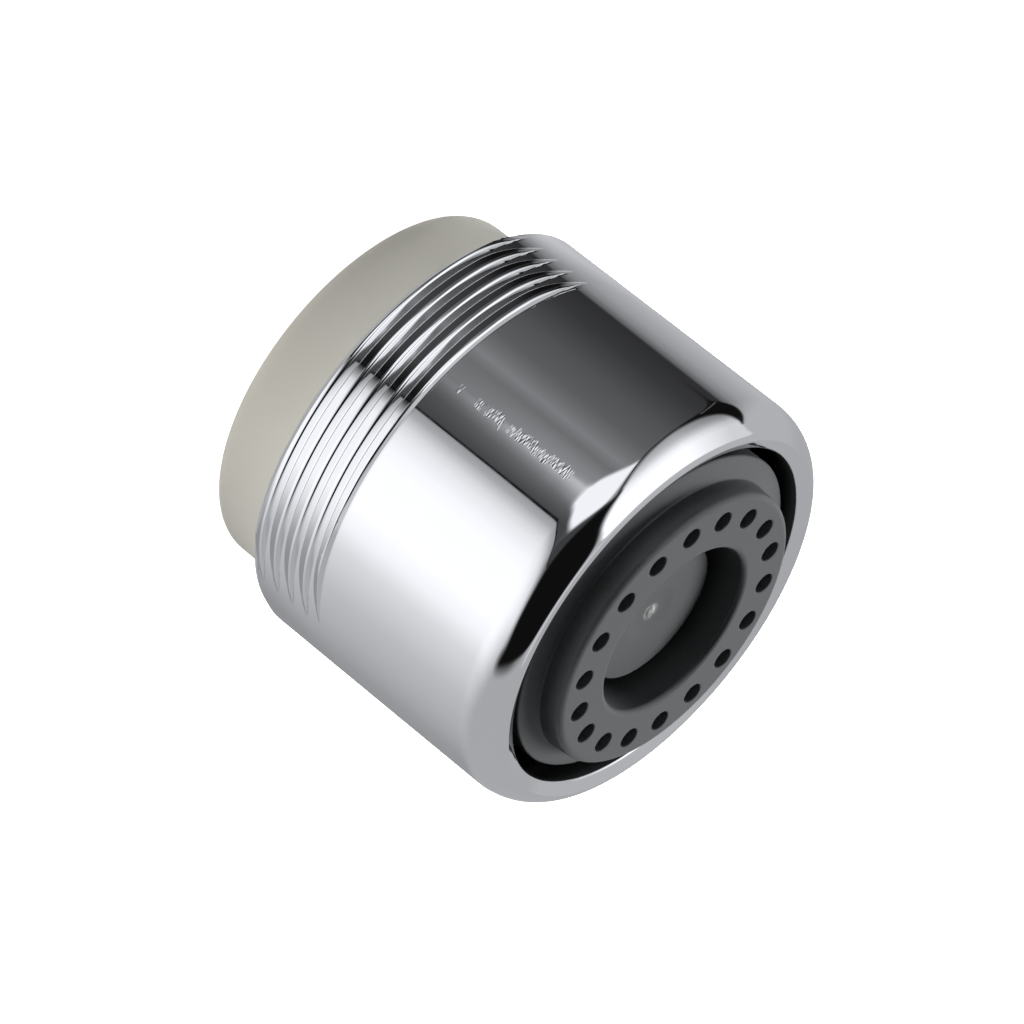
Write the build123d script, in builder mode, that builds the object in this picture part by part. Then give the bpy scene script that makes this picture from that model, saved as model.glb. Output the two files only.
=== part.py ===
from build123d import *
from math import cos, radians, sin
import os

# Tap aerator with a male thread for the spout: a chromed housing round a plastic cartridge.
# Z is the axis of the water. The part stands on its sealing washer, so the inlet is at
# Z = 0 and the outlet face is at the top. Lengths are in millimetres.

# Clearances between pieces that are made apart
running_fit = 0.05
loose_fit = 0.10

# Housing, across the axis
thread_radius = 11.95
thread_rise = 0.45
housing_wall = 1.30
ledge_width = 0.55
thread_relief_across = 11.19
thread_relief_along = 13.36

# Housing, along the axis
thread_length = 4.60
lead_chamfer = 0.60
inlet_chamfer = 0.30
lip_thickness = 2.40
lip_round_width = 1.65
lip_round_height = 2.20
lip_round_turn = 74
lip_crown_round = 0.20
lip_edge_depth = 0.35

# Sealing washer
washer_thickness = 6.30
washer_stand_out = 4.30
washer_fit = 0.20
washer_taper = 0.15
washer_width = 2.30
washer_round = 1.00
washer_edge = 0.20

# Cartridge jacket
cup_wall = 1.00
rib_depth = 1.00
rib_width = 1.20
rib_length = 3.70
rib_count = 12
jacket_wall = 0.85
jacket_shoulder = 0.80
screen_shelf = 0.85
chamber_height = 3.80
window_width = 2.20
window_height = 1.50
window_margin = 0.50
window_count = 8
rim_chamfer = 0.20

# Inlet strainer
strainer_flange = 0.60
strainer_wall = 0.60
strainer_gap = 0.50
strainer_headroom = 0.40
strainer_bevel = 0.60
strainer_slot_width = 0.60
strainer_slot_length = 1.00
strainer_rows = 3
strainer_row_margin = 1.20
strainer_inner_row = 2.00
strainer_inner_slots = 9

# Flow regulator
regulator_flange = 1.20
regulator_floor = 0.50
regulator_gap = 0.45
post_rise = 0.30
flute_count = 10
flute_radius = 0.45
o_ring_thickness = 1.70
o_ring_room = 0.35
collar_wall = 0.80
passage_radius = 0.55
passage_count = 10

# Jet plate
jet_plate_thickness = 1.20
jet_channel_depth = 0.50
jet_channel_land = 0.40
jet_hub_radius = 2.80
jet_radius = 0.45
jet_count = 20
jet_margin = 0.70

# Screens and the rings that space them
screen_names = ("first_screen", "middle_screen", "last_screen")
spacer_names = ("first_spacer", "last_spacer")
screen_thickness = 0.30
screen_hole = 1.10
screen_pitch = 1.80
screen_rim = 0.60
spacer_thickness = 0.60
spacer_width = 0.95

# Outlet insert
air_gap = 0.68
collar_width = 1.21
collar_depth = 1.30
collar_fall = 0.35
disc_draft = 0.10
disc_round = 0.35
insert_proud = 0.90
spigot_length = 3.00
spigot_wall = 1.00
plate_thickness = 1.40
hole_radius = 0.55
hole_count = 18
hole_turn = 13.5
hole_land = 0.74
recess_land = 1.22
recess_depth = 3.20
recess_round = 0.30
recess_wall = 0.90
boss_gap = 0.80
boss_depth = 1.60
boss_wall = 1.00
dimple_radius = 1.40
dimple_depth = 0.20
gate_radius = 0.32
gate_height = 0.15

# Radii that follow from the sizes above
body_radius = thread_radius - thread_rise
bore_radius = body_radius - housing_wall
opening_radius = bore_radius - ledge_width
flange_radius = bore_radius - loose_fit
washer_radius = bore_radius - washer_fit
washer_hole = washer_radius - washer_width
cup_radius = flange_radius - cup_wall
jacket_radius = flange_radius - rib_depth
screen_bore = jacket_radius - jacket_wall
chamber_radius = screen_bore - screen_shelf
plate_radius = cup_radius - running_fit
screen_radius = screen_bore - loose_fit
spigot_radius = screen_bore - running_fit
cavity_radius = spigot_radius - spigot_wall
collar_radius = opening_radius - air_gap
disc_radius = collar_radius - collar_width
hole_circle = disc_radius - hole_land - hole_radius
recess_radius = hole_circle - hole_radius - recess_land
boss_radius = recess_radius - boss_gap
lip_round_centre = body_radius - lip_round_width
crown_radius = lip_round_centre + lip_round_width * cos(radians(lip_round_turn))
strainer_radius = washer_hole - strainer_gap
strainer_bore = strainer_radius - strainer_wall
strainer_outer_row = strainer_bore - strainer_row_margin
strainer_row_step = (strainer_outer_row - strainer_inner_row) / (strainer_rows - 1)
pocket_radius = strainer_bore - regulator_gap - collar_wall
post_radius = pocket_radius - o_ring_room - o_ring_thickness - loose_fit
o_ring_circle = post_radius + loose_fit + o_ring_thickness / 2
channel_radius = chamber_radius - jet_channel_land
jet_circle = channel_radius - jet_margin - jet_radius

# Heights that follow from the sizes above
inlet_z = washer_stand_out
cartridge_z = washer_thickness
regulator_z = cartridge_z + strainer_flange
jet_plate_z = regulator_z + regulator_flange
shoulder_z = jet_plate_z + jet_plate_thickness
screens_z = shoulder_z + chamber_height
screen_step = screen_thickness + spacer_thickness
spigot_z = screens_z + len(screen_names) * screen_step - spacer_thickness
ledge_z = spigot_z + spigot_length
lip_z = ledge_z + lip_thickness
lip_round_z = lip_z - lip_round_height * sin(radians(lip_round_turn))
outlet_z = lip_z + insert_proud
thread_end_z = inlet_z + thread_length
pocket_z = jet_plate_z - regulator_floor
o_ring_z = pocket_z - o_ring_thickness
post_z = o_ring_z - post_rise
sieve_z = post_z - strainer_headroom
strainer_z = sieve_z - strainer_wall
window_z = shoulder_z + jacket_shoulder + window_margin


# Chromed housing: a turned shell with a rounded outlet lip, and a ledge inside for the cartridge
with BuildPart() as thread_band:
    with BuildSketch(Plane.XZ):
        with BuildLine():
            Polyline(
                (bore_radius, inlet_z),
                (thread_radius - lead_chamfer, inlet_z),
                (thread_radius, inlet_z + lead_chamfer),
                (thread_radius, thread_end_z - thread_rise),
                (body_radius, thread_end_z),
                (bore_radius, thread_end_z),
                close=True,
            )
        make_face()
    revolve(axis=Axis.Z)
    # The thread fades out on two opposite sides, where the blank is relieved to an oval
    with BuildSketch(Plane.XY.offset(inlet_z)):
        Ellipse(thread_relief_across, thread_relief_along)
    extrude(amount=thread_length, mode=Mode.INTERSECT)

with BuildPart() as housing:
    with BuildSketch(Plane.XZ) as housing_section:
        with BuildLine():
            EllipticalCenterArc(
                (lip_round_centre, lip_round_z),
                lip_round_width,
                lip_round_height,
                start_angle=0,
                arc_size=lip_round_turn,
            )
            Polyline(
                (crown_radius, lip_z),
                (opening_radius, lip_z - lip_edge_depth),
                (opening_radius, ledge_z),
                (bore_radius, ledge_z),
                (bore_radius, inlet_z + inlet_chamfer),
                (bore_radius + inlet_chamfer, inlet_z),
                (body_radius - lead_chamfer, inlet_z),
                (body_radius, inlet_z + lead_chamfer),
                (body_radius, lip_round_z),
            )
        make_face()
        crown = housing_section.vertices().group_by(Axis.Y)[-1]
        fillet(crown, radius=lip_crown_round)
    revolve(axis=Axis.Z)
    add(thread_band.part)
    with BuildSketch(Plane.XY.offset(inlet_z)):
        Circle(bore_radius)
    extrude(amount=inlet_chamfer, mode=Mode.SUBTRACT)
housing.part.label = "housing"

# Sealing washer: a thick soft ring that stands out of the inlet
with BuildPart() as sealing_washer:
    with BuildSketch(Plane.XZ) as washer_section:
        with BuildLine():
            Polyline(
                (washer_hole, 0),
                (washer_radius - washer_taper, 0),
                (washer_radius, washer_stand_out),
                (washer_radius, washer_thickness),
                (washer_hole, washer_thickness),
                close=True,
            )
        make_face()
        outer_foot = washer_section.vertices().group_by(Axis.Y)[0].sort_by(Axis.X)[-1]
        fillet(outer_foot, radius=washer_round)
        inner_foot = washer_section.vertices().group_by(Axis.Y)[0].sort_by(Axis.X)[0]
        fillet(inner_foot, radius=washer_edge)
    revolve(axis=Axis.Z)
sealing_washer.part.label = "sealing_washer"

# Inlet strainer: a moulded cap with a flange, its flat sieve pierced by rings of slots
with BuildPart() as inlet_strainer:
    with BuildSketch(Plane.XZ):
        with BuildLine():
            Polyline(
                (0, strainer_z),
                (strainer_radius - strainer_bevel, strainer_z),
                (strainer_radius, strainer_z + strainer_bevel),
                (strainer_radius, cartridge_z),
                (plate_radius, cartridge_z),
                (plate_radius, regulator_z),
                (strainer_bore, regulator_z),
                (strainer_bore, sieve_z),
                (0, sieve_z),
                close=True,
            )
        make_face()
    revolve(axis=Axis.Z)
    with BuildSketch(Plane.XY.offset(strainer_z)):
        for row in range(strainer_rows):
            row_radius = strainer_inner_row + row * strainer_row_step
            with PolarLocations(row_radius, strainer_inner_slots * (row + 1)):
                Rectangle(strainer_slot_length, strainer_slot_width)
    extrude(amount=strainer_wall, mode=Mode.SUBTRACT)
inlet_strainer.part.label = "inlet_strainer"

# Flow regulator: a flanged plate whose fluted post and collar hold an elastic ring
with BuildPart() as flow_regulator:
    with BuildSketch(Plane.XY.offset(regulator_z)):
        Circle(plate_radius)
    extrude(amount=regulator_flange)
    with BuildSketch(Plane.XY.offset(o_ring_z)):
        Circle(pocket_radius + collar_wall)
    extrude(amount=regulator_z - o_ring_z)
    with BuildSketch(Plane.XY.offset(o_ring_z)):
        Circle(pocket_radius)
    extrude(amount=pocket_z - o_ring_z, mode=Mode.SUBTRACT)
    with BuildSketch(Plane.XY.offset(post_z)):
        Circle(post_radius)
        with PolarLocations(post_radius, flute_count):
            Circle(flute_radius, mode=Mode.SUBTRACT)
    extrude(amount=pocket_z - post_z)
    with BuildSketch(Plane.XY.offset(pocket_z)):
        with PolarLocations((post_radius + pocket_radius) / 2, passage_count):
            Circle(passage_radius)
    extrude(amount=regulator_floor, mode=Mode.SUBTRACT)
flow_regulator.part.label = "flow_regulator"

# Regulator ring: swells against the flutes as the pressure rises
with BuildPart() as regulator_ring:
    with BuildSketch(Plane.XZ):
        with Locations((o_ring_circle, o_ring_z + o_ring_thickness / 2)):
            Circle(o_ring_thickness / 2)
    revolve(axis=Axis.Z)
regulator_ring.part.label = "regulator_ring"

# Jet plate: a channel on its inlet side feeds a ring of fine jets
with BuildPart() as jet_plate:
    with BuildSketch(Plane.XY.offset(jet_plate_z)):
        Circle(plate_radius)
    extrude(amount=jet_plate_thickness)
    with BuildSketch(Plane.XY.offset(jet_plate_z)):
        Circle(channel_radius)
        Circle(jet_hub_radius, mode=Mode.SUBTRACT)
    extrude(amount=jet_channel_depth, mode=Mode.SUBTRACT)
    with BuildSketch(Plane.XY.offset(jet_plate_z)):
        with PolarLocations(jet_circle, jet_count):
            Circle(jet_radius)
    extrude(amount=jet_plate_thickness, mode=Mode.SUBTRACT)
jet_plate.part.label = "jet_plate"

# Cartridge jacket: a cup for the plates, a mixing chamber with air windows, and ribs that
# rest on the housing's ledge and let air pass between them from the outlet to the windows
with BuildPart() as cartridge_jacket:
    with BuildSketch(Plane.XZ):
        with BuildLine():
            Polyline(
                (cup_radius, cartridge_z),
                (flange_radius - rim_chamfer, cartridge_z),
                (flange_radius, cartridge_z + rim_chamfer),
                (flange_radius, shoulder_z + jacket_shoulder - rim_chamfer),
                (flange_radius - rim_chamfer, shoulder_z + jacket_shoulder),
                (jacket_radius, shoulder_z + jacket_shoulder),
                (jacket_radius, ledge_z),
                (screen_bore, ledge_z),
                (screen_bore, screens_z),
                (chamber_radius, screens_z),
                (chamber_radius, shoulder_z),
                (cup_radius, shoulder_z),
                close=True,
            )
        make_face()
    revolve(axis=Axis.Z)
    with BuildSketch(Plane.XY.offset(ledge_z - rib_length)):
        with PolarLocations(jacket_radius, rib_count):
            Rectangle(2 * rib_depth, rib_width)
        Circle(flange_radius, mode=Mode.INTERSECT)
        Circle(screen_bore, mode=Mode.SUBTRACT)
    extrude(amount=rib_length)
    with BuildSketch(Plane.XY.offset(window_z)):
        with PolarLocations((chamber_radius + jacket_radius) / 2, window_count):
            Rectangle(2 * (jacket_radius - chamber_radius), window_width)
    extrude(amount=window_height, mode=Mode.SUBTRACT)
cartridge_jacket.part.label = "cartridge_jacket"

# Screens: pierced metal discs that break the stream up, with a ring between each two
screen_reach = screen_radius - screen_rim - screen_hole / 2
grid_steps = int(screen_reach / screen_pitch)
grid_line = [step * screen_pitch for step in range(-grid_steps, grid_steps + 1)]
hole_places = [(x, y) for x in grid_line for y in grid_line if x * x + y * y < screen_reach**2]

screens = []
for number, name in enumerate(screen_names):
    with BuildPart() as screen:
        with BuildSketch(Plane.XY.offset(screens_z + number * screen_step)):
            Circle(screen_radius)
            with Locations(*hole_places):
                Rectangle(screen_hole, screen_hole, mode=Mode.SUBTRACT)
        extrude(amount=screen_thickness)
    screen.part.label = name
    screens.append(screen.part)

spacers = []
for number, name in enumerate(spacer_names):
    with BuildPart() as spacer:
        with BuildSketch(Plane.XY.offset(screens_z + number * screen_step + screen_thickness)):
            Circle(screen_radius)
            Circle(screen_radius - spacer_width, mode=Mode.SUBTRACT)
        extrude(amount=spacer_thickness)
    spacer.part.label = name
    spacers.append(spacer.part)

# Outlet insert: a moulded plate with a ring of round holes, a collar set back from its face,
# and a recess round a low boss, hollow behind, with the mark of the moulding gate
with BuildPart() as outlet_insert:
    boss_z = outlet_z - boss_depth
    recess_z = outlet_z - recess_depth
    with BuildSketch(Plane.XZ) as insert_section:
        with BuildLine():
            Polyline(
                (dimple_radius, boss_z),
                (boss_radius, boss_z),
                (boss_radius, recess_z),
                (recess_radius, recess_z),
                (recess_radius, outlet_z),
                (disc_radius, outlet_z),
                (disc_radius + disc_draft, outlet_z - collar_depth),
                (collar_radius, outlet_z - collar_depth - collar_fall),
                (collar_radius, ledge_z),
                (spigot_radius, ledge_z),
                (spigot_radius, spigot_z),
                (cavity_radius, spigot_z),
                (cavity_radius, outlet_z - plate_thickness),
                (recess_radius + recess_wall, outlet_z - plate_thickness),
                (recess_radius + recess_wall, recess_z - recess_wall),
                (boss_radius - boss_wall, recess_z - recess_wall),
                (boss_radius - boss_wall, boss_z - boss_wall),
                (0, boss_z - boss_wall),
                (0, boss_z - dimple_depth),
            )
            EllipticalCenterArc((0, boss_z), dimple_radius, dimple_depth, 270)
        make_face()
        rim = insert_section.vertices().group_by(Axis.Y)[-1].sort_by(Axis.X)
        fillet(rim[0], radius=recess_round)
        rim = insert_section.vertices().group_by(Axis.Y)[-1].sort_by(Axis.X)
        fillet(rim[-1], radius=disc_round)
    revolve(axis=Axis.Z)
    with BuildSketch(Plane.XY.offset(boss_z - dimple_depth)):
        Circle(gate_radius)
    extrude(amount=gate_height)
    with BuildSketch(Plane.XY.offset(outlet_z - plate_thickness)):
        with PolarLocations(hole_circle, hole_count, start_angle=hole_turn):
            Circle(hole_radius)
    extrude(amount=plate_thickness, mode=Mode.SUBTRACT)
outlet_insert.part.label = "outlet_insert"

os.makedirs("parts", exist_ok=True)
export_step(housing.part, "parts/housing.step")
export_step(sealing_washer.part, "parts/sealing_washer.step")
export_step(inlet_strainer.part, "parts/inlet_strainer.step")
export_step(flow_regulator.part, "parts/flow_regulator.step")
export_step(regulator_ring.part, "parts/regulator_ring.step")
export_step(jet_plate.part, "parts/jet_plate.step")
export_step(cartridge_jacket.part, "parts/cartridge_jacket.step")
export_step(outlet_insert.part, "parts/outlet_insert.step")
for piece in screens + spacers:
    export_step(piece, f"parts/{piece.label}.step")
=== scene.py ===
from math import asin, cos, degrees, hypot, pi, radians, sin, sqrt, tan

import bmesh
import bpy
import numpy as np
from mathutils import Matrix, Vector


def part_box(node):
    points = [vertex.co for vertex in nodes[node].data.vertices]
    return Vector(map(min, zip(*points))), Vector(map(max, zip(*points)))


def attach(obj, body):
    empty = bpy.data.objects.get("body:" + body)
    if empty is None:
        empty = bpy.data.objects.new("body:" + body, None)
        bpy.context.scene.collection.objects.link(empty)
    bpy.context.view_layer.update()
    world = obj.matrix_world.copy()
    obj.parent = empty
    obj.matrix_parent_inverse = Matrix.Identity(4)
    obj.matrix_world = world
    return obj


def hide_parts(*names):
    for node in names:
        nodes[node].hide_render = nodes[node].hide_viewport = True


# Tap aerator: chromed housing with its cut thread, rubber sealing washer, pierced plastic outlet
# insert. Lengths are in millimetres until a mesh is made, Z is the axis and the outlet is on top.
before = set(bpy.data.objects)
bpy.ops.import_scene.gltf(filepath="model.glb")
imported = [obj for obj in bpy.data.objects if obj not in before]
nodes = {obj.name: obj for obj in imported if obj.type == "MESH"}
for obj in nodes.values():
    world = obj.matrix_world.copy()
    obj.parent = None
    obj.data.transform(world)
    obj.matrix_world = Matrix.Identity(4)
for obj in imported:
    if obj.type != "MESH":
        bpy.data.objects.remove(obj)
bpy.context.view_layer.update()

MM = 0.001


def extent(node, corner, axis):
    """One coordinate of a node's lowest (0) or highest (1) corner, in millimetres."""
    return round(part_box(node)[corner][axis] / MM, 2)


# Sizes read from the solids
BODY_RADIUS = extent("housing", 1, 0)
WASHER_RADIUS = extent("sealing_washer", 1, 0)
WASHER_END = extent("sealing_washer", 1, 2)
COLLAR_RADIUS = extent("outlet_insert", 1, 0)
SPIGOT_END = extent("outlet_insert", 0, 2)
OUTLET_Z = extent("outlet_insert", 1, 2)

# Housing: bore, ledge, rounded lip and the cone that falls from its crown to the opening
BORE_RADIUS = 10.2
BORE_END = 12.0
INLET_Z = 4.45
INLET_CHAMFER = 0.30
LEDGE_Z = 18.2
OPENING_RADIUS = 9.65
OPENING_Z = 20.25
OPENING_EDGE = 0.03
OPENING_DROP = 0.05
LIP_CENTRE = (9.85, 18.485)
LIP_ROUND = (1.65, 2.20)
LIP_TURN = 74
LIP_STEPS = 34
CROWN_ROUND = 0.20
CROWN_TURN = 22
CROWN_STEPS = 8
BODY_ROWS = (9.4, 12.0, 15.0, 17.5, 18.3)
HOUSING_COLUMNS = 480

# Thread: flat crests with a narrow groove between them, the crests fading out on the two X sides
PITCH = 1.0
THREAD_TURNS = range(-5, 5)
CREST_RADIUS = 11.74
CREST_WIDTH = 0.60
CREST_LEAST = 0.04
CREST_LEAN = tan(radians(6))
FLOOR_RADIUS = 11.41
ROOT_WIDTH = 0.04
FLANK = tan(radians(31))
FADE_FROM = 25
FADE_TO = 48
FADE_POWER = 1.7

# The crest's rounded outlet edge: its width, its drop, its Z at one angle (counter-clockwise from
# +X), and its round as (way back from the edge, part of the drop)
EDGE_WIDTH = 0.20
EDGE_DROP = 0.074
EDGE_Z = 6.10
EDGE_AT = radians(-60)
EDGE_ROUND = ((0.15, 0.03), (0.10, 0.13), (0.06, 0.29), (0.04, 0.41), (0.025, 0.57), (0.01, 0.82))

# The thread's two ends: a rounded nose at the inlet, a notch and a lower crest by the plain body
NOSE_ROUND = 0.45
NOTCH_Z = 9.07
NOTCH_RADIUS = 11.43
NOTCH_ROUND = 0.03
LAST_CREST = 2.2
LAST_CREST_LOWER = 0.14

# Rows that keep a flat face flat in the shading stand this far from its ends, or this near together
PLAIN_MARGIN = 0.02
HAIR = 0.003

# Where the crest fades out, its rows stand as for this share of it. The bevel is at its inlet edge
ROWS_SHARE = 0.4
BEVEL_REACH = 0.015
BEVEL_DROP = 0.012

# Scratched band along the body: its place, clockwise from +X, its width and the bend of the surface
SCRATCH_TURN = 102.8
SCRATCH_SLOPE = 0.24
SCRATCH_HALF_WIDTH = 0.16
SCRATCH_EDGE = 0.10
SCRATCH_WANDER = 0.85
SCRATCH_FROM = 10.4
SCRATCH_TO = 17.1
SCRATCH_DENSE_FROM = 10.5
SCRATCH_DENSE_TO = 15.0

# Washer
WASHER_HOLE = 7.7
WASHER_BULGE = 0.02
WASHER_BULGE_Z = 4.3
WASHER_EDGE = 0.2
WASHER_ROUND = 0.85
WASHER_SEGMENTS = 288

# Outlet insert: the pierced disc
HOLES = 18
HOLE_TURN = 13.5
HOLE_CIRCLE = 6.47
HOLE_RADIUS = 0.55
HOLE_ROUND = 0.07
HOLE_LAND = 0.16
HOLE_STEPS = 4
PER_SECTOR = 12
SEGMENTS = HOLES * PER_SECTOR
DISC_INNER = 5.02
DISC_OUTER = 7.40
DISC_RADIUS = 7.76
DISC_FOOT = 7.86
DISC_ROUND = 0.35
PLATE_Z = OUTLET_Z - 1.4

# Outlet insert: collar, spigot, recess and boss
COLLAR_INNER_Z = 20.2
COLLAR_OUTER_Z = 19.85
SPIGOT_RADIUS = 8.2
SPIGOT_HOLE = 7.2
RECESS_RADIUS = 4.70
RECESS_Z = 18.3
RECESS_ROUND = 0.30
BOSS_RADIUS = 3.90
BOSS_Z = 19.9
BOSS_ROUND = 0.13
CAVITY_RADIUS = 5.6
CAVITY_Z = 17.4
CORE_RADIUS = 2.9
CORE_Z = 18.9

# Outlet insert: the dimple in the boss, and the torn gate in it as (radius, height over the boss)
DIMPLE_RADIUS = 1.62
DIMPLE_FLAT = 0.75
DIMPLE_DEPTH = 0.075
DIMPLE_STEPS = 18
GATE_FOOT = 0.36
GATE = ((0.33, -0.074), (0.29, -0.045), (0.24, -0.015), (0.16, 0.0), (0.08, -0.005), (0.0, -0.015))


# Mesh helpers
def add_object(name, verts, faces, material, sharp=32):
    """A smooth mesh object from points in millimetres, with edges over an angle left sharp."""
    mesh = bpy.data.meshes.new(name)
    mesh.from_pydata([(x * MM, y * MM, z * MM) for x, y, z in verts], [], faces)
    work = bmesh.new()
    work.from_mesh(mesh)
    bmesh.ops.remove_doubles(work, verts=work.verts, dist=1e-6)
    bmesh.ops.dissolve_degenerate(work, edges=work.edges, dist=1e-7)
    bmesh.ops.recalc_face_normals(work, faces=work.faces)
    work.to_mesh(mesh)
    work.free()
    mesh.shade_smooth()
    mesh.set_sharp_from_angle(angle=radians(sharp))
    mesh.materials.append(material)
    made = bpy.data.objects.new(name, mesh)
    bpy.context.scene.collection.objects.link(made)
    return made


def smooth_step(low, high, value):
    part = min(1, max(0, (value - low) / (high - low)))
    return part * part * (3 - 2 * part)


def loop_grid(columns, closed_section=True):
    """Faces between neighbouring columns of points, each column one section of the solid."""
    verts = [point for column in columns for point in column]
    rows = len(columns[0])
    faces = []
    for c in range(len(columns)):
        d = (c + 1) % len(columns)
        for r in range(rows if closed_section else rows - 1):
            s = (r + 1) % rows
            faces.append((c * rows + r, d * rows + r, d * rows + s, c * rows + s))
    return verts, faces


def turned(section, segments, start=0.0):
    """Columns of a section in (r, z), turned round the axis."""
    columns = []
    for step in range(segments):
        angle = start + 2 * pi * step / segments
        columns.append([(r * cos(angle), r * sin(angle), z) for r, z in section])
    return columns


def rounded(points, radii, steps=5):
    """A polyline in (r, z) whose corners are rounded by arcs of the given radii."""
    out = []
    count = len(points)
    for i, (corner, radius) in enumerate(zip(points, radii)):
        if radius == 0:
            out.append(corner)
            continue
        here = Vector(corner)
        back = (Vector(points[i - 1]) - here).normalized()
        ahead = (Vector(points[(i + 1) % count]) - here).normalized()
        half = back.angle(ahead) / 2
        reach = radius / tan(half)
        centre = here + (back + ahead).normalized() * (radius / sin(half))
        first = here + back * reach - centre
        last = here + ahead * reach - centre
        sweep = first.angle(last)
        for step in range(steps + 1):
            part = step / steps
            arm = first * sin((1 - part) * sweep) + last * sin(part * sweep)
            point = centre + arm / sin(sweep)
            out.append((point.x, point.y))
    return out


# Material helpers
def linear(grey):
    """The linear level of a grey as a screen shows it, from 0 to 255."""
    value = np.asarray(grey) / 255
    return np.where(value <= 0.04045, value / 12.92, ((value + 0.055) / 1.055) ** 2.4)


def colour(*greys):
    return tuple(float(linear(grey)) for grey in greys) + (1,)


def new_material(name):
    material = bpy.data.materials.new(name)
    material.use_nodes = True
    tree = material.node_tree
    return material, tree, tree.nodes["Principled BSDF"]


def noise(tree, scale, detail, stretch=(1, 1, 1)):
    place = tree.nodes.new("ShaderNodeTexCoord")
    mapping = tree.nodes.new("ShaderNodeMapping")
    mapping.inputs["Scale"].default_value = stretch
    texture = tree.nodes.new("ShaderNodeTexNoise")
    texture.inputs["Scale"].default_value = scale
    texture.inputs["Detail"].default_value = detail
    tree.links.new(place.outputs["Object"], mapping.inputs["Vector"])
    tree.links.new(mapping.outputs["Vector"], texture.inputs["Vector"])
    return texture.outputs["Fac"]


def ranged(tree, value, start, end, low=0.0, high=1.0):
    """A value taken from one range to another, and held at its ends."""
    node = tree.nodes.new("ShaderNodeMapRange")
    node.inputs["From Min"].default_value = start
    node.inputs["From Max"].default_value = end
    node.inputs["To Min"].default_value = low
    node.inputs["To Max"].default_value = high
    tree.links.new(value, node.inputs["Value"])
    return node.outputs["Result"]


def spread(tree, source, low, high):
    """Noise, most of which lies between 0.3 and 0.7, spread over a range."""
    return ranged(tree, source, 0.3, 0.7, low, high)


def worked(tree, operation, first, second, clamp=False):
    """The result of a Math node on two values, each a number or a socket."""
    node = tree.nodes.new("ShaderNodeMath")
    node.operation = operation
    node.use_clamp = clamp
    for slot, value in enumerate((first, second)):
        if isinstance(value, (int, float)):
            node.inputs[slot].default_value = value
        else:
            tree.links.new(value, node.inputs[slot])
    return node.outputs[0]


def tint(tree, source, first, second):
    """A mix of two colours, the first of them a colour or a socket."""
    mix = tree.nodes.new("ShaderNodeMix")
    mix.data_type = "RGBA"
    if isinstance(first, tuple):
        mix.inputs[6].default_value = first
    else:
        tree.links.new(first, mix.inputs[6])
    mix.inputs[7].default_value = second
    tree.links.new(source, mix.inputs[0])
    return mix.outputs[2]


def relief(tree, shader, source, depth, strength):
    """A bump on the shader, over the bump it may already have."""
    bump = tree.nodes.new("ShaderNodeBump")
    bump.inputs["Distance"].default_value = depth
    bump.inputs["Strength"].default_value = strength
    tree.links.new(source, bump.inputs["Height"])
    for link in shader.inputs["Normal"].links:
        tree.links.new(link.from_socket, bump.inputs["Normal"])
    tree.links.new(bump.outputs["Normal"], shader.inputs["Normal"])


def near_point(tree, centre, low, high):
    """1 at a point and falling to 0 between two distances from it (metres, object space)."""
    place = tree.nodes.new("ShaderNodeTexCoord")
    apart = tree.nodes.new("ShaderNodeVectorMath")
    apart.operation = "DISTANCE"
    apart.inputs[1].default_value = centre
    tree.links.new(place.outputs["Object"], apart.inputs[0])
    return ranged(tree, apart.outputs["Value"], low, high, 1, 0)


def window(tree, value, low, high, edge):
    """1 between two values, falling to 0 beyond them."""
    rise = ranged(tree, value, low - edge, low)
    fall = ranged(tree, value, high + edge, high)
    return worked(tree, "MULTIPLY", rise, fall)


# Materials
def surface(name, first, second, rough, scale, grain, metallic=0.0, specular=0.5, stretch=(1, 1, 1)):
    """A material whose colour, sheen and fine relief vary a little over the surface."""
    material, tree, shader = new_material(name)
    shader.inputs["Metallic"].default_value = metallic
    shader.inputs["Specular IOR Level"].default_value = specular
    broad = noise(tree, scale, 3, stretch)
    tree.links.new(tint(tree, broad, first, second), shader.inputs["Base Color"])
    tree.links.new(spread(tree, broad, *rough), shader.inputs["Roughness"])
    relief(tree, shader, noise(tree, scale * 12, 2, stretch), grain, 0.5)
    return material


def torn_gate(material):
    """The torn gate in the middle of the boss is paler than the moulding round it."""
    tree = material.node_tree
    shader = tree.nodes["Principled BSDF"]
    middle = near_point(tree, (0, 0, BOSS_Z * MM), 0.18 * MM, 0.58 * MM)
    torn = worked(tree, "MULTIPLY", middle, spread(tree, noise(tree, 5200, 2), 0.05, 1.0))
    moulding = shader.inputs["Base Color"].links[0].from_socket
    tree.links.new(tint(tree, torn, moulding, colour(205, 205, 203)), shader.inputs["Base Color"])


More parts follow.
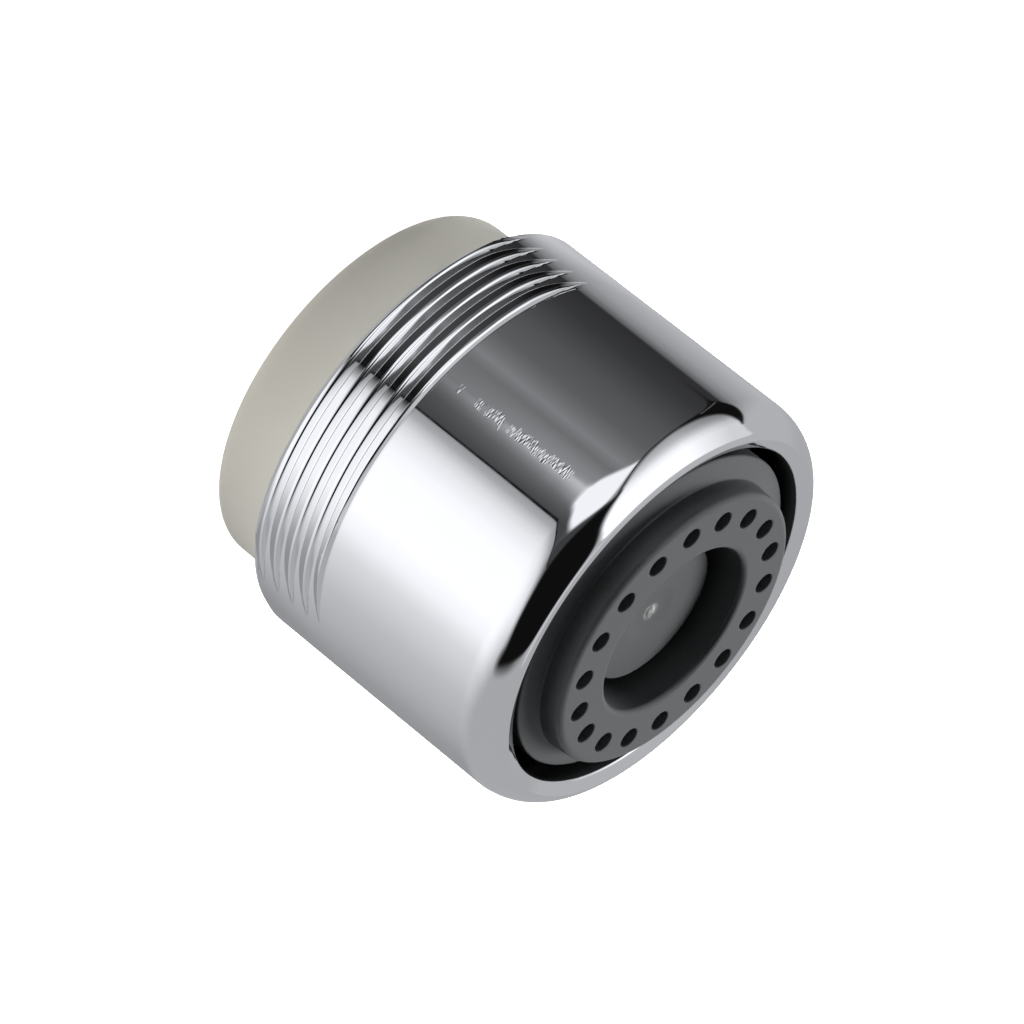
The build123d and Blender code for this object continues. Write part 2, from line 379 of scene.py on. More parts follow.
def scratches(material):
    """A band of fine strokes along the body that bend what the chrome shows there."""
    tree = material.node_tree
    shader = tree.nodes["Principled BSDF"]
    place = tree.nodes.new("ShaderNodeTexCoord")
    mapping = tree.nodes.new("ShaderNodeMapping")
    mapping.vector_type = "POINT"
    mapping.inputs["Rotation"].default_value = (0, 0, radians(SCRATCH_TURN - 90))
    split = tree.nodes.new("ShaderNodeSeparateXYZ")
    tree.links.new(place.outputs["Object"], mapping.inputs["Vector"])
    tree.links.new(mapping.outputs["Vector"], split.inputs[0])
    sideways, outwards, along = (split.outputs[axis] for axis in "XYZ")

    wander = worked(tree, "SUBTRACT", noise(tree, 70, 1, (1, 1, 60)), 0.5)
    wander = worked(tree, "MULTIPLY", wander, SCRATCH_WANDER * MM)
    across = worked(tree, "ADD", sideways, wander)
    strokes = worked(tree, "SUBTRACT", noise(tree, 90, 2, (1, 1, 95)), 0.5)
    sparse = ranged(tree, along, SCRATCH_DENSE_FROM * MM, SCRATCH_DENSE_TO * MM, 0.53, 0.33)
    chosen = worked(tree, "SUBTRACT", noise(tree, 60, 1, (1, 1, 52)), sparse)
    chosen = worked(tree, "MULTIPLY", chosen, 14, clamp=True)

    height = worked(tree, "MULTIPLY", strokes, worked(tree, "MULTIPLY", across, SCRATCH_SLOPE))
    half_width = SCRATCH_HALF_WIDTH * MM
    for limit in (chosen,
                  window(tree, across, -half_width, half_width, SCRATCH_EDGE * MM),
                  window(tree, outwards, -13 * MM, -10 * MM, 1 * MM),
                  window(tree, along, SCRATCH_FROM * MM, SCRATCH_TO * MM, 0.4 * MM)):
        height = worked(tree, "MULTIPLY", height, limit)
    relief(tree, shader, height, 1.0, 1.0)


chrome = surface("chrome", (0.875, 0.885, 0.895, 1), (0.895, 0.90, 0.905, 1), (0.025, 0.055), 260,
                 1.5e-7, metallic=1.0, stretch=(1, 1, 6))
washer_rubber = surface("washer_rubber", colour(186, 184, 175), colour(180, 178, 169), (0.50, 0.62),
                        300, 2e-6, specular=0.35)
insert_plastic = surface("insert_plastic", colour(87, 89, 90), colour(92, 94, 95), (0.34, 0.44), 400,
                         1e-6, specular=0.35)
cartridge_plastic = surface("cartridge_plastic", colour(222, 222, 217), colour(214, 214, 208),
                            (0.35, 0.5), 350, 1e-6)
# Near-black plastic for the jacket, chosen so that it also paints the shade deep in the gap round the insert
jacket_plastic = surface("jacket_plastic", colour(24, 24, 25), colour(30, 30, 31), (0.35, 0.5), 350,
                         1e-6, specular=0.3)
ring_rubber = surface("ring_rubber", colour(24, 24, 25), colour(30, 30, 31), (0.4, 0.55), 400, 2e-6)
# Dark metal for the inside of the housing: painted shade, the black deep inside the opening
bore_shade_metal = surface("bore_shade_metal", (0.05, 0.05, 0.052, 1), (0.08, 0.08, 0.083, 1), (0.35, 0.5), 300,
                     1e-6, metallic=1.0)
screen_steel = surface("screen_steel", (0.58, 0.58, 0.59, 1), (0.66, 0.66, 0.67, 1), (0.22, 0.34),
                       500, 1e-6, metallic=1.0)
torn_gate(insert_plastic)
scratches(chrome)

NODE_FINISH = {
    "housing": chrome, "sealing_washer": washer_rubber, "outlet_insert": insert_plastic,
    "cartridge_jacket": jacket_plastic, "regulator_ring": ring_rubber, "first_screen": screen_steel,
    "middle_screen": screen_steel, "last_screen": screen_steel,
}
for name, node in nodes.items():
    node.data.materials.clear()
    node.data.materials.append(NODE_FINISH.get(name, cartridge_plastic))


# Housing
def crest_share(angle):
    """How wide and how high the crest stands at an angle (radians), as parts of the full one."""
    off_side = degrees(asin(min(1, abs(sin(angle)))))
    part = min(1, max(0, (off_side - FADE_FROM) / (FADE_TO - FADE_FROM)))
    return 1 - (1 - part) ** 2, 1 - (1 - part ** FADE_POWER) ** 2


def ridge(wide, high):
    """One pitch as (way along the axis, radius), from one crest's outlet edge to the next one's."""
    crest = BODY_RADIUS + (CREST_RADIUS - BODY_RADIUS) * high
    floor = BODY_RADIUS - (BODY_RADIUS - FLOOR_RADIUS) * high
    drop = EDGE_DROP * high
    top = max(CREST_LEAST, CREST_WIDTH * wide)
    size = min(1, top / (EDGE_WIDTH * 1.6))
    face = top - EDGE_WIDTH * size
    depth = crest - drop - floor
    run = depth * FLANK
    lean = min(CREST_LEAN * face, 0.5 * (crest - BODY_RADIUS))
    foot = run + ROOT_WIDTH
    bank = foot + (BODY_RADIUS - floor) * FLANK + HAIR
    start = PITCH - top
    plain = max(bank + HAIR, start - max(2 * HAIR, (crest - lean - BODY_RADIUS) * FLANK))
    margin = min(PLAIN_MARGIN, (plain - bank) / 3)

    points = [(run * part, crest - drop - depth * part) for part in (0.0, 0.12, 0.5, 0.88, 1.0)]
    points.append((foot, floor))
    points += [(way, BODY_RADIUS) for way in (bank, bank + margin, plain - margin, plain)]
    points.append((start - HAIR, crest - lean - BEVEL_DROP * high))
    points.append((start + BEVEL_REACH, crest - lean))
    points += [(start + face * part, crest - lean * (1 - part)) for part in (0.15, 0.5, 0.85, 1.0)]
    points += [(PITCH - back * size, crest - drop * part) for back, part in EDGE_ROUND]
    return points


def thread_rows(angle):
    """The thread from the inlet end to the plain body as (radius, z), its rows along the helix."""
    wide, high = crest_share(angle)
    ways = [way for way, _ in ridge(wide, high)]
    radii = [radius for _, radius in ridge(wide, high)]
    edge_z = EDGE_Z + PITCH * (angle - EDGE_AT) / (2 * pi)
    rows_at = [way for way, _ in ridge(max(ROWS_SHARE, wide), max(ROWS_SHARE, high))]
    places = [edge_z + turn * PITCH + way for turn in THREAD_TURNS for way in rows_at]
    places += [NOTCH_Z - 0.02 - 0.03 * step for step in range(7)]
    rows = []
    for z in sorted(min(NOTCH_Z - 0.002, max(INLET_Z + 0.004, place)) for place in places):
        radius = float(np.interp((z - edge_z) % PITCH, ways, radii, period=PITCH))
        if z > edge_z + LAST_CREST * PITCH:
            radius = max(min(radius, BODY_RADIUS), radius - LAST_CREST_LOWER)
        lead = min(NOSE_ROUND, z - INLET_Z)
        nose = CREST_RADIUS - NOSE_ROUND + sqrt(NOSE_ROUND ** 2 - (NOSE_ROUND - lead) ** 2)
        notch = BODY_RADIUS - (BODY_RADIUS - NOTCH_RADIUS) * high + (NOTCH_Z - z) / FLANK
        apart = hypot(radius - notch, NOTCH_ROUND * high)
        rows.append((min(nose, (radius + notch - apart) / 2), z))
    bottom = rows[-1][0]
    shoulder = NOTCH_Z + max(0.004, (BODY_RADIUS - bottom) * FLANK)
    rows.append((bottom, NOTCH_Z))
    rows.append(((bottom + BODY_RADIUS) / 2, (NOTCH_Z + shoulder) / 2))
    rows += [(BODY_RADIUS, z) for z in (shoulder, shoulder + 0.015, NOTCH_Z + 0.16)]
    return rows


def lip_rows():
    """The rounded lip, its crown and the cone that falls to the opening, as (radius, z)."""
    centre_r, centre_z = LIP_CENTRE
    width, height = LIP_ROUND
    rows = []
    for step in range(LIP_STEPS + 1):
        turn = radians(LIP_TURN) * step / LIP_STEPS
        rows.append((centre_r + width * cos(turn), centre_z + height * sin(turn)))
    top = Vector(rows[-1])
    opening = Vector((OPENING_RADIUS, OPENING_Z))
    reach = CROWN_ROUND * tan(radians(CROWN_TURN))
    while hypot(rows[-1][0] - top.x, rows[-1][1] - top.y) < reach:
        rows.pop()
    start = Vector(rows[-1])
    end = top + (opening - top).normalized() * reach
    for step in range(1, CROWN_STEPS + 1):
        part = step / CROWN_STEPS
        point = start * (1 - part) ** 2 + top * 2 * part * (1 - part) + end * part ** 2
        rows.append((point.x, point.y))
    rows += [tuple(end + (opening - end) * part) for part in (0.5, 0.85)]
    rows.append((OPENING_RADIUS + OPENING_EDGE, OPENING_Z))
    rows.append((OPENING_RADIUS, OPENING_Z - OPENING_DROP))
    return rows


def build_housing():
    """The turned shell, one section for each column, with its bore in a dark metal that paints the shade
    which makes the opening's gap black.
    """
    inlet = [(BORE_RADIUS, BORE_END), (BORE_RADIUS, INLET_Z + INLET_CHAMFER + 0.05),
             (BORE_RADIUS, INLET_Z + INLET_CHAMFER), (BORE_RADIUS + INLET_CHAMFER, INLET_Z),
             (BORE_RADIUS + INLET_CHAMFER + 0.04, INLET_Z)]
    body = [(BODY_RADIUS, z) for z in BODY_ROWS]
    ledge = [(OPENING_RADIUS, 19.2), (OPENING_RADIUS, LEDGE_Z), (BORE_RADIUS, LEDGE_Z)]
    lip = lip_rows()
    columns = []
    for step in range(HOUSING_COLUMNS):
        angle = 2 * pi * step / HOUSING_COLUMNS
        section = inlet + thread_rows(angle) + body + lip + ledge
        columns.append([(r * cos(angle), r * sin(angle), z) for r, z in section])
    housing = add_object("housing_visual", *loop_grid(columns), chrome)
    housing.data.materials.append(bore_shade_metal)
    # Faces inside the housing take the dark metal, painted shade for the black gap in the opening
    for face in housing.data.polygons:
        middle = face.center / MM
        inside = hypot(middle.x, middle.y) < BORE_RADIUS + 0.05
        if inside and INLET_Z + 0.4 < middle.z < OPENING_Z - 0.06:
            face.material_index = 1
    return housing


# Washer
def build_washer():
    """A thick ring with a well rounded outer edge, a little fuller where it leaves the housing."""
    outline = [(WASHER_HOLE, 0), (WASHER_RADIUS, 0), (WASHER_RADIUS + WASHER_BULGE, WASHER_BULGE_Z),
               (WASHER_RADIUS, WASHER_END), (WASHER_HOLE, WASHER_END)]
    section = rounded(outline, [WASHER_EDGE, WASHER_ROUND, 0, 0, 0], steps=12)
    return add_object("washer_visual", *loop_grid(turned(section, WASHER_SEGMENTS)), washer_rubber)


# Outlet insert
def sector_border(inner, outer, middle):
    """The border of one hole's sector as (radius, angle), each of its four sides in equal steps."""
    half = pi / HOLES
    parts = [step / PER_SECTOR for step in range(PER_SECTOR)]
    border = [(inner, middle - half + 2 * half * part) for part in parts]
    border += [(inner + (outer - inner) * part, middle + half) for part in parts]
    border += [(outer, middle + half - 2 * half * part) for part in parts]
    border += [(outer - (outer - inner) * part, middle - half) for part in parts]
    return border


def pierced_ring(inner, outer, z, rings):
    """A flat ring of holes, each sector a grid from its border to the rings of the hole's wall."""
    verts, faces = [], []
    for number in range(HOLES):
        middle = radians(HOLE_TURN + 360 / HOLES * number)
        border = sector_border(inner, outer, middle)
        count = len(border)
        centre = Vector((HOLE_CIRCLE * cos(middle), HOLE_CIRCLE * sin(middle), 0))
        edge = [Vector((r * cos(a), r * sin(a), z)) for r, a in border]
        around = []
        for j in range(count):
            turn = middle + pi + pi / 4 - 2 * pi * j / count
            around.append(Vector((cos(turn), sin(turn), 0)))
        wide = rings[0][0]
        rim = [centre + arm * wide + Vector((0, 0, z)) for arm in around]
        layers = [edge]
        for part in (0.35, 0.7):
            layers.append([start.lerp(end, part) for start, end in zip(edge, rim)])
        for radius, height in rings:
            layers.append([centre + arm * radius + Vector((0, 0, height)) for arm in around])
        base = len(verts)
        for layer in layers:
            verts += [tuple(point) for point in layer]
        for i in range(len(layers) - 1):
            for j in range(count):
                k = (j + 1) % count
                faces.append((base + i * count + j, base + i * count + k,
                              base + (i + 1) * count + k, base + (i + 1) * count + j))
    return verts, faces


def hole_rings():
    """The rounded rim and the wall of a hole, from the face down, as (radius, z)."""
    rings = [(HOLE_RADIUS + HOLE_LAND, OUTLET_Z), (HOLE_RADIUS + HOLE_ROUND, OUTLET_Z)]
    for step in range(1, HOLE_STEPS + 1):
        turn = pi / 2 * step / HOLE_STEPS
        rings.append((HOLE_RADIUS + HOLE_ROUND * (1 - sin(turn)), OUTLET_Z - HOLE_ROUND * (1 - cos(turn))))
    rings += [(HOLE_RADIUS, OUTLET_Z - 0.5), (HOLE_RADIUS, PLATE_Z)]
    return rings


def insert_outside():
    """From the disc's face over its edge, the collar and the spigot, and up inside to the plate."""
    outline = [(DISC_OUTER, OUTLET_Z), (DISC_RADIUS, OUTLET_Z), (DISC_FOOT, COLLAR_INNER_Z),
               (COLLAR_RADIUS, COLLAR_OUTER_Z), (COLLAR_RADIUS, LEDGE_Z), (SPIGOT_RADIUS, LEDGE_Z),
               (SPIGOT_RADIUS, SPIGOT_END), (SPIGOT_HOLE, SPIGOT_END), (SPIGOT_HOLE, PLATE_Z)]
    return rounded(outline, [0, DISC_ROUND, 0.12, 0.15, 0, 0, 0.1, 0.1, 0], steps=8)


def insert_recess():
    """From the disc's face down into the recess, over the boss and its dimple to the torn gate."""
    outline = [(DISC_INNER, OUTLET_Z), (RECESS_RADIUS, OUTLET_Z), (RECESS_RADIUS, RECESS_Z),
               (BOSS_RADIUS, RECESS_Z), (BOSS_RADIUS, BOSS_Z), (DIMPLE_RADIUS, BOSS_Z)]
    section = rounded(outline, [0, RECESS_ROUND, 0.08, 0.08, BOSS_ROUND, 0], steps=8)
    for step in range(1, DIMPLE_STEPS + 1):
        radius = DIMPLE_RADIUS - (DIMPLE_RADIUS - GATE_FOOT) * step / DIMPLE_STEPS
        section.append((radius, BOSS_Z - DIMPLE_DEPTH * smooth_step(DIMPLE_RADIUS, DIMPLE_FLAT, radius)))
    return section + [(radius, BOSS_Z + height) for radius, height in GATE]


def build_insert():
    """One moulding: the pierced disc, its underside, and three turned faces that join them."""
    under_rings = [(HOLE_RADIUS + 0.06, PLATE_Z), (HOLE_RADIUS, PLATE_Z)]
    under = [(CAVITY_RADIUS, PLATE_Z), (CAVITY_RADIUS, CAVITY_Z), (CORE_RADIUS, CAVITY_Z),
             (CORE_RADIUS, CORE_Z), (0.0, CORE_Z)]
    parts = [pierced_ring(DISC_INNER, DISC_OUTER, OUTLET_Z, hole_rings()),
             pierced_ring(CAVITY_RADIUS, SPIGOT_HOLE, PLATE_Z, under_rings)]
    start = radians(HOLE_TURN) - pi / HOLES
    for section in (insert_outside(), insert_recess(), under):
        parts.append(loop_grid(turned(section, SEGMENTS, start), closed_section=False))
    verts, faces = [], []
    for part_verts, part_faces in parts:
        base = len(verts)
        verts += part_verts
        faces += [tuple(base + index for index in face) for face in part_faces]
    return add_object("insert_visual", verts, faces, insert_plastic)


for piece, node, slot in ((build_housing(), "housing", "chrome"),
                          (build_washer(), "sealing_washer", "washer_rubber"),
                          (build_insert(), "outlet_insert", "insert_plastic")):
    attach(piece, "root")
    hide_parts(node)


# Stage

# What stands round the object is set out by the place on the chrome that shows it: the turn of that
# place, in degrees clockwise from +X, and the tilt of its surface above the horizontal, in degrees.
# Greys are as the screen shows them, from 0 to 255.
CAMERA_PLACE = (0.0004031, -0.2772790, 0.1437581)
CAMERA_DIP = 25.61081
CAMERA_ROLL = 128.53942
CHROME_LEVEL = 0.885
CARD_DISTANCE = 0.8
CARD_TINT = (0.985, 0.993, 1.03)
BRIGHTEST = 257

# The softbox ends at a line that bends away over the lip. The line is dark, as the box's own rim
SOFTBOX_EDGE = [(93.15, -16), (93.1, -0.4), (93.0, 0.5), (92.5, 1.5), (91.4, 4.2), (90, 8), (88, 12),
                (85, 16), (83, 19)]

# Levels along the turn, as (turn, grey): on the plain wall, on the crests, and on the open room above
SOFTBOX_SIDE = [(0, 165), (8, 142), (18, 149), (30, 170), (42, 187), (54, 216), (60, 244), (66, 257),
                (78, 255), (82, 249), (86, 232), (88, 216), (90, 187), (91, 167), (93, 148)]
DARK_SIDE = [(93, 66), (95, 80), (98, 104), (100, 131), (102, 171), (103, 176), (103.8, 137), (105, 133),
             (107, 126), (110, 108), (113, 125), (116, 109), (120, 92), (127, 82), (133, 68), (139, 55),
             (147.4, 46), (148.4, 94), (151, 130), (155, 152), (160, 164), (168, 176), (180, 165)]
DARKER_BY_THREAD = [(93, 0), (95, 10), (98, 30), (100, 44), (102, 66), (103, 68), (104, 22), (107, 16),
                    (110, 0)]
CREST_SIDE = [(0, 165), (10, 142), (27, 140), (40, 142), (47, 150), (51, 162), (55, 190), (60, 225),
              (66, 246), (86, 244), (89, 215), (91.5, 120), (93, 30), (95, 18), (98, 38), (101, 60),
              (110, 66), (118, 58), (128, 48), (133, 30), (138, 16), (147.5, 16), (150, 90), (152, 150),
              (154, 182), (157, 196), (161, 192), (170, 180), (180, 165)]
OPEN_ROOM = [(0, 165), (92, 165), (104, 176), (170, 174), (180, 165)]

# How many degrees of tilt the wall's level takes to rise to the open room's, as (turn, degrees)
ROOM_REACH = [(0, 12), (40, 16), (55, 24), (62, 30), (70, 40), (92, 44), (93, 60), (146, 60), (152, 30),
              (165, 12)]

# Cards that the lip shows, as closed outlines of (turn, tilt)
LIGHT_FIELD = [(107.5, 27.5), (111, 23.5), (115, 19.5), (120, 15.8), (126, 13.4), (132, 13),
               (138, 14.2), (143, 17.5), (146, 22.5), (148, 30), (149, 37), (150, 46), (150, 55.5),
               (125, 56.2), (98.5, 56.2), (97.5, 46), (99, 40), (101.5, 35.5)]
DIAMOND = [(98.3, 1.0), (103.0, 0.6), (104.8, 2.2), (107, 4), (110, 8), (113.5, 12.7), (116, 15.3),
           (113, 18), (108, 22), (104, 23.7), (100, 22), (96, 18.6), (93, 15.5), (94, 10.5), (96.5, 5.5)]
HALO = [(54.5, 24), (54.5, 34), (57, 45), (62, 50), (64, 40), (60, 24)]
SHADE = [(56, 26), (62, 25.5), (68, 24.5), (75, 22.5), (82, 20), (86, 18.5), (91, 26), (88, 40),
         (70, 42), (59, 40)]
WHITE_STRIP = [(60, 55), (75, 57), (97, 56.5), (97, 58.5), (75, 60), (60, 58)]
DARK_WEDGE = [(88, 14.3), (91, 15.5), (95, 18.8), (100, 22.8), (104, 25), (100, 26), (90, 24), (83.5, 20)]
BLACK_CARD = [(56.3, 25.5), (57, 32), (58.5, 39), (60.5, 46), (63, 51), (67, 54.2), (74, 55.6),
              (82, 55.8), (89, 54.6), (93.5, 51), (96.3, 44.5), (98.3, 38), (101, 33), (104.5, 29.3),
              (108, 26.3), (103, 25.8), (97, 23.5), (90, 21), (83, 20.5), (76, 22.5), (68, 24.5),
              (61, 26.5)]
CRESCENT = [(131, 11.4), (136, 10), (140, 8.3), (142.4, 5.0), (144, 1.6), (145.2, 1.3), (146.8, 3.6),
            (149, 9), (150.5, 14), (151.2, 20), (151, 27), (150, 33), (149.2, 37), (148.5, 31),
            (147.2, 24), (145, 18.5), (142, 15), (138.5, 12.7), (134.5, 11.8)]
GLINT = [(139, 9.6), (143, 7), (146, 4)]
CURVED_LINE = [(107, 26), (110, 22.2), (113, 19), (118, 14.8), (122, 13), (128, 11.3), (134, 10),
               (140, 8), (143.5, 4.6), (144.5, 2)]

# The cards in the order they are laid, as (outline, grey, softness of the edge in degrees)
CARDS = ((DIAMOND, 242, 3.0), (HALO, 130, 5.0), (SHADE, 20, 9.0), (WHITE_STRIP, 196, 2.5),
         (DARK_WEDGE, 60, 1.5), (BLACK_CARD, 14, 2.6), (CRESCENT, 15, 1.2))

# The grid the cards are made on is finest at the softbox's edge and at the plain wall's tilts
TURN_STEPS = np.concatenate([np.arange(0, 88, 0.4), np.arange(88, 98, 0.15), np.arange(98, 180.01, 0.35)])
TILT_STEPS = np.concatenate([np.arange(-16, -2, 0.5), np.arange(-2, 1, 0.1), np.arange(1, 86.01, 0.4)])


def over(value, stops):
    """The level at each value, between the stops of a list of (value, level)."""
    return np.interp(value, [stop[0] for stop in stops], [stop[1] for stop in stops])


def flowing(points, closed=True, steps=6):
    """A smooth curve through the points."""
    count = len(points)
    out = []
    for i in range(count if closed else count - 1):
        if closed:
            p = [Vector(points[(i + k) % count]) for k in (-1, 0, 1, 2)]
        else:
            p = [Vector(points[min(count - 1, max(0, i + k))]) for k in (-1, 0, 1, 2)]
        for step in range(steps):
            u = step / steps
            point = 0.5 * (2 * p[1] + (p[2] - p[0]) * u + (2 * p[0] - 5 * p[1] + 4 * p[2] - p[3]) * u ** 2
                           + (3 * p[1] - p[0] - 3 * p[2] + p[3]) * u ** 3)
            out.append((point.x, point.y))
    if not closed:
        out.append(tuple(points[-1]))
    return out


def distance_to_line(turn, tilt, line):
    nearest = np.full(turn.shape, np.inf)
    for (x0, y0), (x1, y1) in zip(line, line[1:]):
        length_squared = (x1 - x0) ** 2 + (y1 - y0) ** 2
        along = np.clip(((turn - x0) * (x1 - x0) + (tilt - y0) * (y1 - y0)) / length_squared, 0, 1)
        nearest = np.minimum(nearest, np.hypot(turn - x0 - along * (x1 - x0), tilt - y0 - along * (y1 - y0)))
    return nearest


def depth_inside(turn, tilt, outline):
    """How far points lie inside a closed outline (degrees), below zero outside it."""
    ring = outline + outline[:1]
    nearest = distance_to_line(turn, tilt, ring)
    inside = np.zeros(turn.shape, bool)
    for (x0, y0), (x1, y1) in zip(ring, ring[1:]):
        if y0 != y1:
            inside ^= ((y0 > tilt) != (y1 > tilt)) & (turn < (x1 - x0) * (tilt - y0) / (y1 - y0) + x0)
    return np.where(inside, nearest, -nearest)


def lay(levels, turn, tilt, outline, grey, soft):
    """The levels with a card of one grey laid over them."""
    part = np.clip(0.5 + depth_inside(turn, tilt, flowing(outline)) / soft, 0, 1)
    return levels + (grey - levels) * part * part * (3 - 2 * part)


def draw(levels, turn, tilt, line, grey, half_width):
    """The levels with a line of one grey drawn over them."""
    part = np.clip(1.5 - distance_to_line(turn, tilt, flowing(line, closed=False)) / half_width, 0, 1)
    return levels + (grey - levels) * part


def plain_wall(turn, tilt):
    """What the plain wall shows: the softbox up to its edge, then a dark side, darker by the thread."""
    edge = np.interp(tilt, [point[1] for point in SOFTBOX_EDGE], [point[0] for point in SOFTBOX_EDGE])
    wall = np.where(turn < edge, over(turn + 93 - edge, SOFTBOX_SIDE), over(turn, DARK_SIDE))
    return wall - over(turn, DARKER_BY_THREAD) * np.clip((0.45 - tilt) / 0.95, 0, 1) * (turn > edge)


def rounded_lip(turn, tilt, wall):
    """What the lip shows: the wall's level rising to the open room's, with the cards laid over it."""
    high = over(turn, OPEN_ROOM)
    reach = over(turn, ROOM_REACH)
    rising = np.clip((tilt - reach * 0.15) / np.maximum(reach, 1), 0, 1)
    levels = wall + (high - wall) * rising * rising * (3 - 2 * rising)
    levels = np.where((tilt > 30) & (turn > 55) & (turn < 150), high, levels)
    glow = over(tilt, [(13, 150), (20, 180), (28, 240), (34, BRIGHTEST)])
    glow = glow - 50 * np.clip((turn - 128) / 16, 0, 1)
    levels = lay(levels, turn, tilt, LIGHT_FIELD, glow, 2.0)
    for outline, grey, soft in CARDS:
        levels = lay(levels, turn, tilt, outline, grey, soft)
    levels = draw(levels, turn, tilt, GLINT, 92, 0.35)
    return draw(levels, turn, tilt, CURVED_LINE, 24, 0.45)


def room_levels(turn, tilt):
    """Light levels of the whole room: the crests' below the wall's tilts, the lip's above them."""
    wall = plain_wall(turn, tilt)
    lip = rounded_lip(turn, tilt, wall)
    wall = wall + (over(turn, CREST_SIDE) - wall) * np.clip((-1.5 - tilt) / 2.0, 0, 1)
    room = wall + (lip - wall) * np.clip((tilt - 0.6) / 0.8, 0, 1)
    room = draw(room, turn, tilt, SOFTBOX_EDGE, 10, 0.23)
    return linear(np.clip(room, 0, BRIGHTEST)) / CHROME_LEVEL


def room_points(turn, tilt):
    """Where the chrome of each turn and tilt, on the lip, reflects the camera's ray to, in metres."""
    a = np.radians(turn)
    t = np.radians(tilt)
    width, height = LIP_ROUND
    normal = np.stack([np.cos(t) * np.cos(a), -np.cos(t) * np.sin(a), np.sin(t)], axis=-1)
    bend = np.arctan(np.tan(np.minimum(t, 1.4)) * height / width)
    lip_r = LIP_CENTRE[0] + width * np.cos(bend)
    lip_z = LIP_CENTRE[1] + height * np.sin(bend)
    lip_place = np.stack([lip_r * np.cos(a), -lip_r * np.sin(a), lip_z], axis=-1)
    ray = lip_place * MM - np.array(CAMERA_PLACE)
    ray /= np.linalg.norm(ray, axis=-1, keepdims=True)
    return (ray - 2 * (normal * ray).sum(-1)[..., None] * normal) * CARD_DISTANCE


def link_stage(name, mesh):
    made = bpy.data.objects.new(name, mesh)
    bpy.context.scene.collection.objects.link(made)
    return made


def card_light():
    """A glow whose level is each point's own."""
    material = bpy.data.materials.new("card_light")
    material.use_nodes = True
    tree = material.node_tree
    tree.nodes.clear()
    out = tree.nodes.new("ShaderNodeOutputMaterial")
    glow = tree.nodes.new("ShaderNodeEmission")
    level = tree.nodes.new("ShaderNodeAttribute")
    level.attribute_name = "level"
    tree.links.new(level.outputs["Color"], glow.inputs["Color"])
    tree.links.new(glow.outputs["Emission"], out.inputs["Surface"])
    return material


def build_cards():
    """The cards round the object, which only its reflections show."""
    turn, tilt = np.meshgrid(TURN_STEPS, TILT_STEPS, indexing="ij")
    rows = len(TILT_STEPS)
    faces = []
    for i in range(len(TURN_STEPS) - 1):
        for j in range(rows - 1):
            faces.append((i * rows + j, (i + 1) * rows + j, (i + 1) * rows + j + 1, i * rows + j + 1))
    mesh = bpy.data.meshes.new("studio_cards")
    mesh.from_pydata(room_points(turn, tilt).reshape(-1, 3).tolist(), [], faces)
    level = room_levels(turn, tilt).reshape(-1)
    red, green, blue = (level * share for share in CARD_TINT)
    layer = mesh.color_attributes.new("level", "FLOAT_COLOR", "POINT")
    layer.data.foreach_set("color", np.stack([red, green, blue, np.ones_like(level)], axis=-1).reshape(-1))
    mesh.materials.append(card_light())
    cards = link_stage("studio_cards", mesh)
    for kind in ("camera", "diffuse", "transmission", "shadow", "volume_scatter"):
        setattr(cards, "visible_" + kind, False)


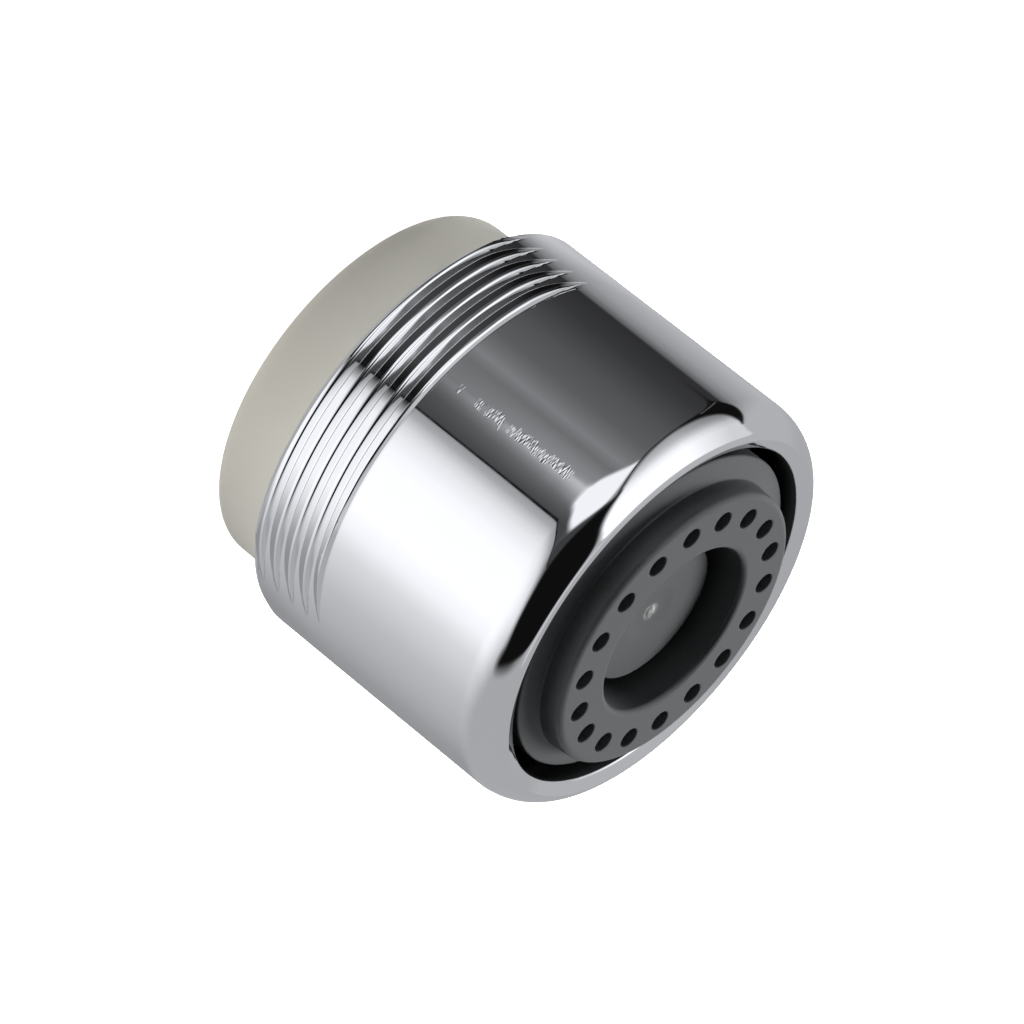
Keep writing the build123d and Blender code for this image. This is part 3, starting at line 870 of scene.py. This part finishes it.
def build_floor(side=1.5, glow=0.53, seen_glow=0.90):
    """A white floor that keeps the object's shadow, and glows a little more to the camera."""
    mesh = bpy.data.meshes.new("floor")
    corners = [(-side, -side, 0), (side, -side, 0), (side, side, 0), (-side, side, 0)]
    mesh.from_pydata(corners, [], [(0, 1, 2, 3)])
    material, tree, shader = new_material("floor_white")
    shader.inputs["Roughness"].default_value = 1.0
    shader.inputs["Specular IOR Level"].default_value = 0.0
    shader.inputs["Base Color"].default_value = (1, 1, 1, 1)
    shader.inputs["Emission Color"].default_value = (1, 1, 1, 1)
    path = tree.nodes.new("ShaderNodeLightPath")
    more = worked(tree, "MULTIPLY", path.outputs["Is Camera Ray"], seen_glow - glow)
    tree.links.new(worked(tree, "ADD", more, glow), shader.inputs["Emission Strength"])
    mesh.materials.append(material)
    floor = link_stage("floor", mesh)
    floor.visible_glossy = False


def build_world(soft_level=0.05, room_level=0.425):
    """White to the eye, soft light on the object, a middle grey where the chrome sees past the cards."""
    world = bpy.data.worlds.new("world")
    bpy.context.scene.world = world
    world.use_nodes = True
    tree = world.node_tree
    sky = tree.nodes["Background"]
    sky.inputs["Color"].default_value = CARD_TINT + (1,)
    rays = tree.nodes.new("ShaderNodeLightPath")
    seen = worked(tree, "MULTIPLY", rays.outputs["Is Camera Ray"], 1 - soft_level)
    gloss = worked(tree, "MULTIPLY", rays.outputs["Is Glossy Ray"], room_level - soft_level)
    strength = worked(tree, "ADD", worked(tree, "ADD", seen, soft_level), gloss)
    tree.links.new(strength, sky.inputs["Strength"])


def lamp(name, place, target, size, watts):
    """A round lamp that lights the object without showing in it."""
    data = bpy.data.lights.new(name, "AREA")
    data.shape = "DISK"
    data.size = size
    data.energy = watts
    made = bpy.data.objects.new(name, data)
    made.location = place
    made.rotation_euler = (Vector(target) - Vector(place)).to_track_quat("-Z", "Y").to_euler()
    made.visible_glossy = False
    made.visible_camera = False
    bpy.context.scene.collection.objects.link(made)


def build_camera():
    """The camera at the photograph's place, looking a little down and rolled to its framing."""
    data = bpy.data.cameras.new("camera")
    data.lens = 224.2476
    data.sensor_width = 36
    data.clip_start = 0.01
    camera = bpy.data.objects.new("camera", data)
    dip = Matrix.Rotation(radians(90 - CAMERA_DIP), 4, "X")
    roll = Matrix.Rotation(radians(CAMERA_ROLL), 4, "Z")
    camera.matrix_world = Matrix.Translation(CAMERA_PLACE) @ dip @ roll
    bpy.context.scene.collection.objects.link(camera)
    bpy.context.scene.camera = camera


build_cards()
build_floor()
build_world()
lamp("key_lamp", place=(-0.25, 0.45, 0.52), target=(0, 0, 0.01), size=0.32, watts=7.7)
lamp("washer_fill", place=(0.036, -0.054, 0.004), target=(0, 0, 0.003), size=0.006, watts=0.017)
build_camera()
bpy.context.scene.view_settings.view_transform = "Standard"
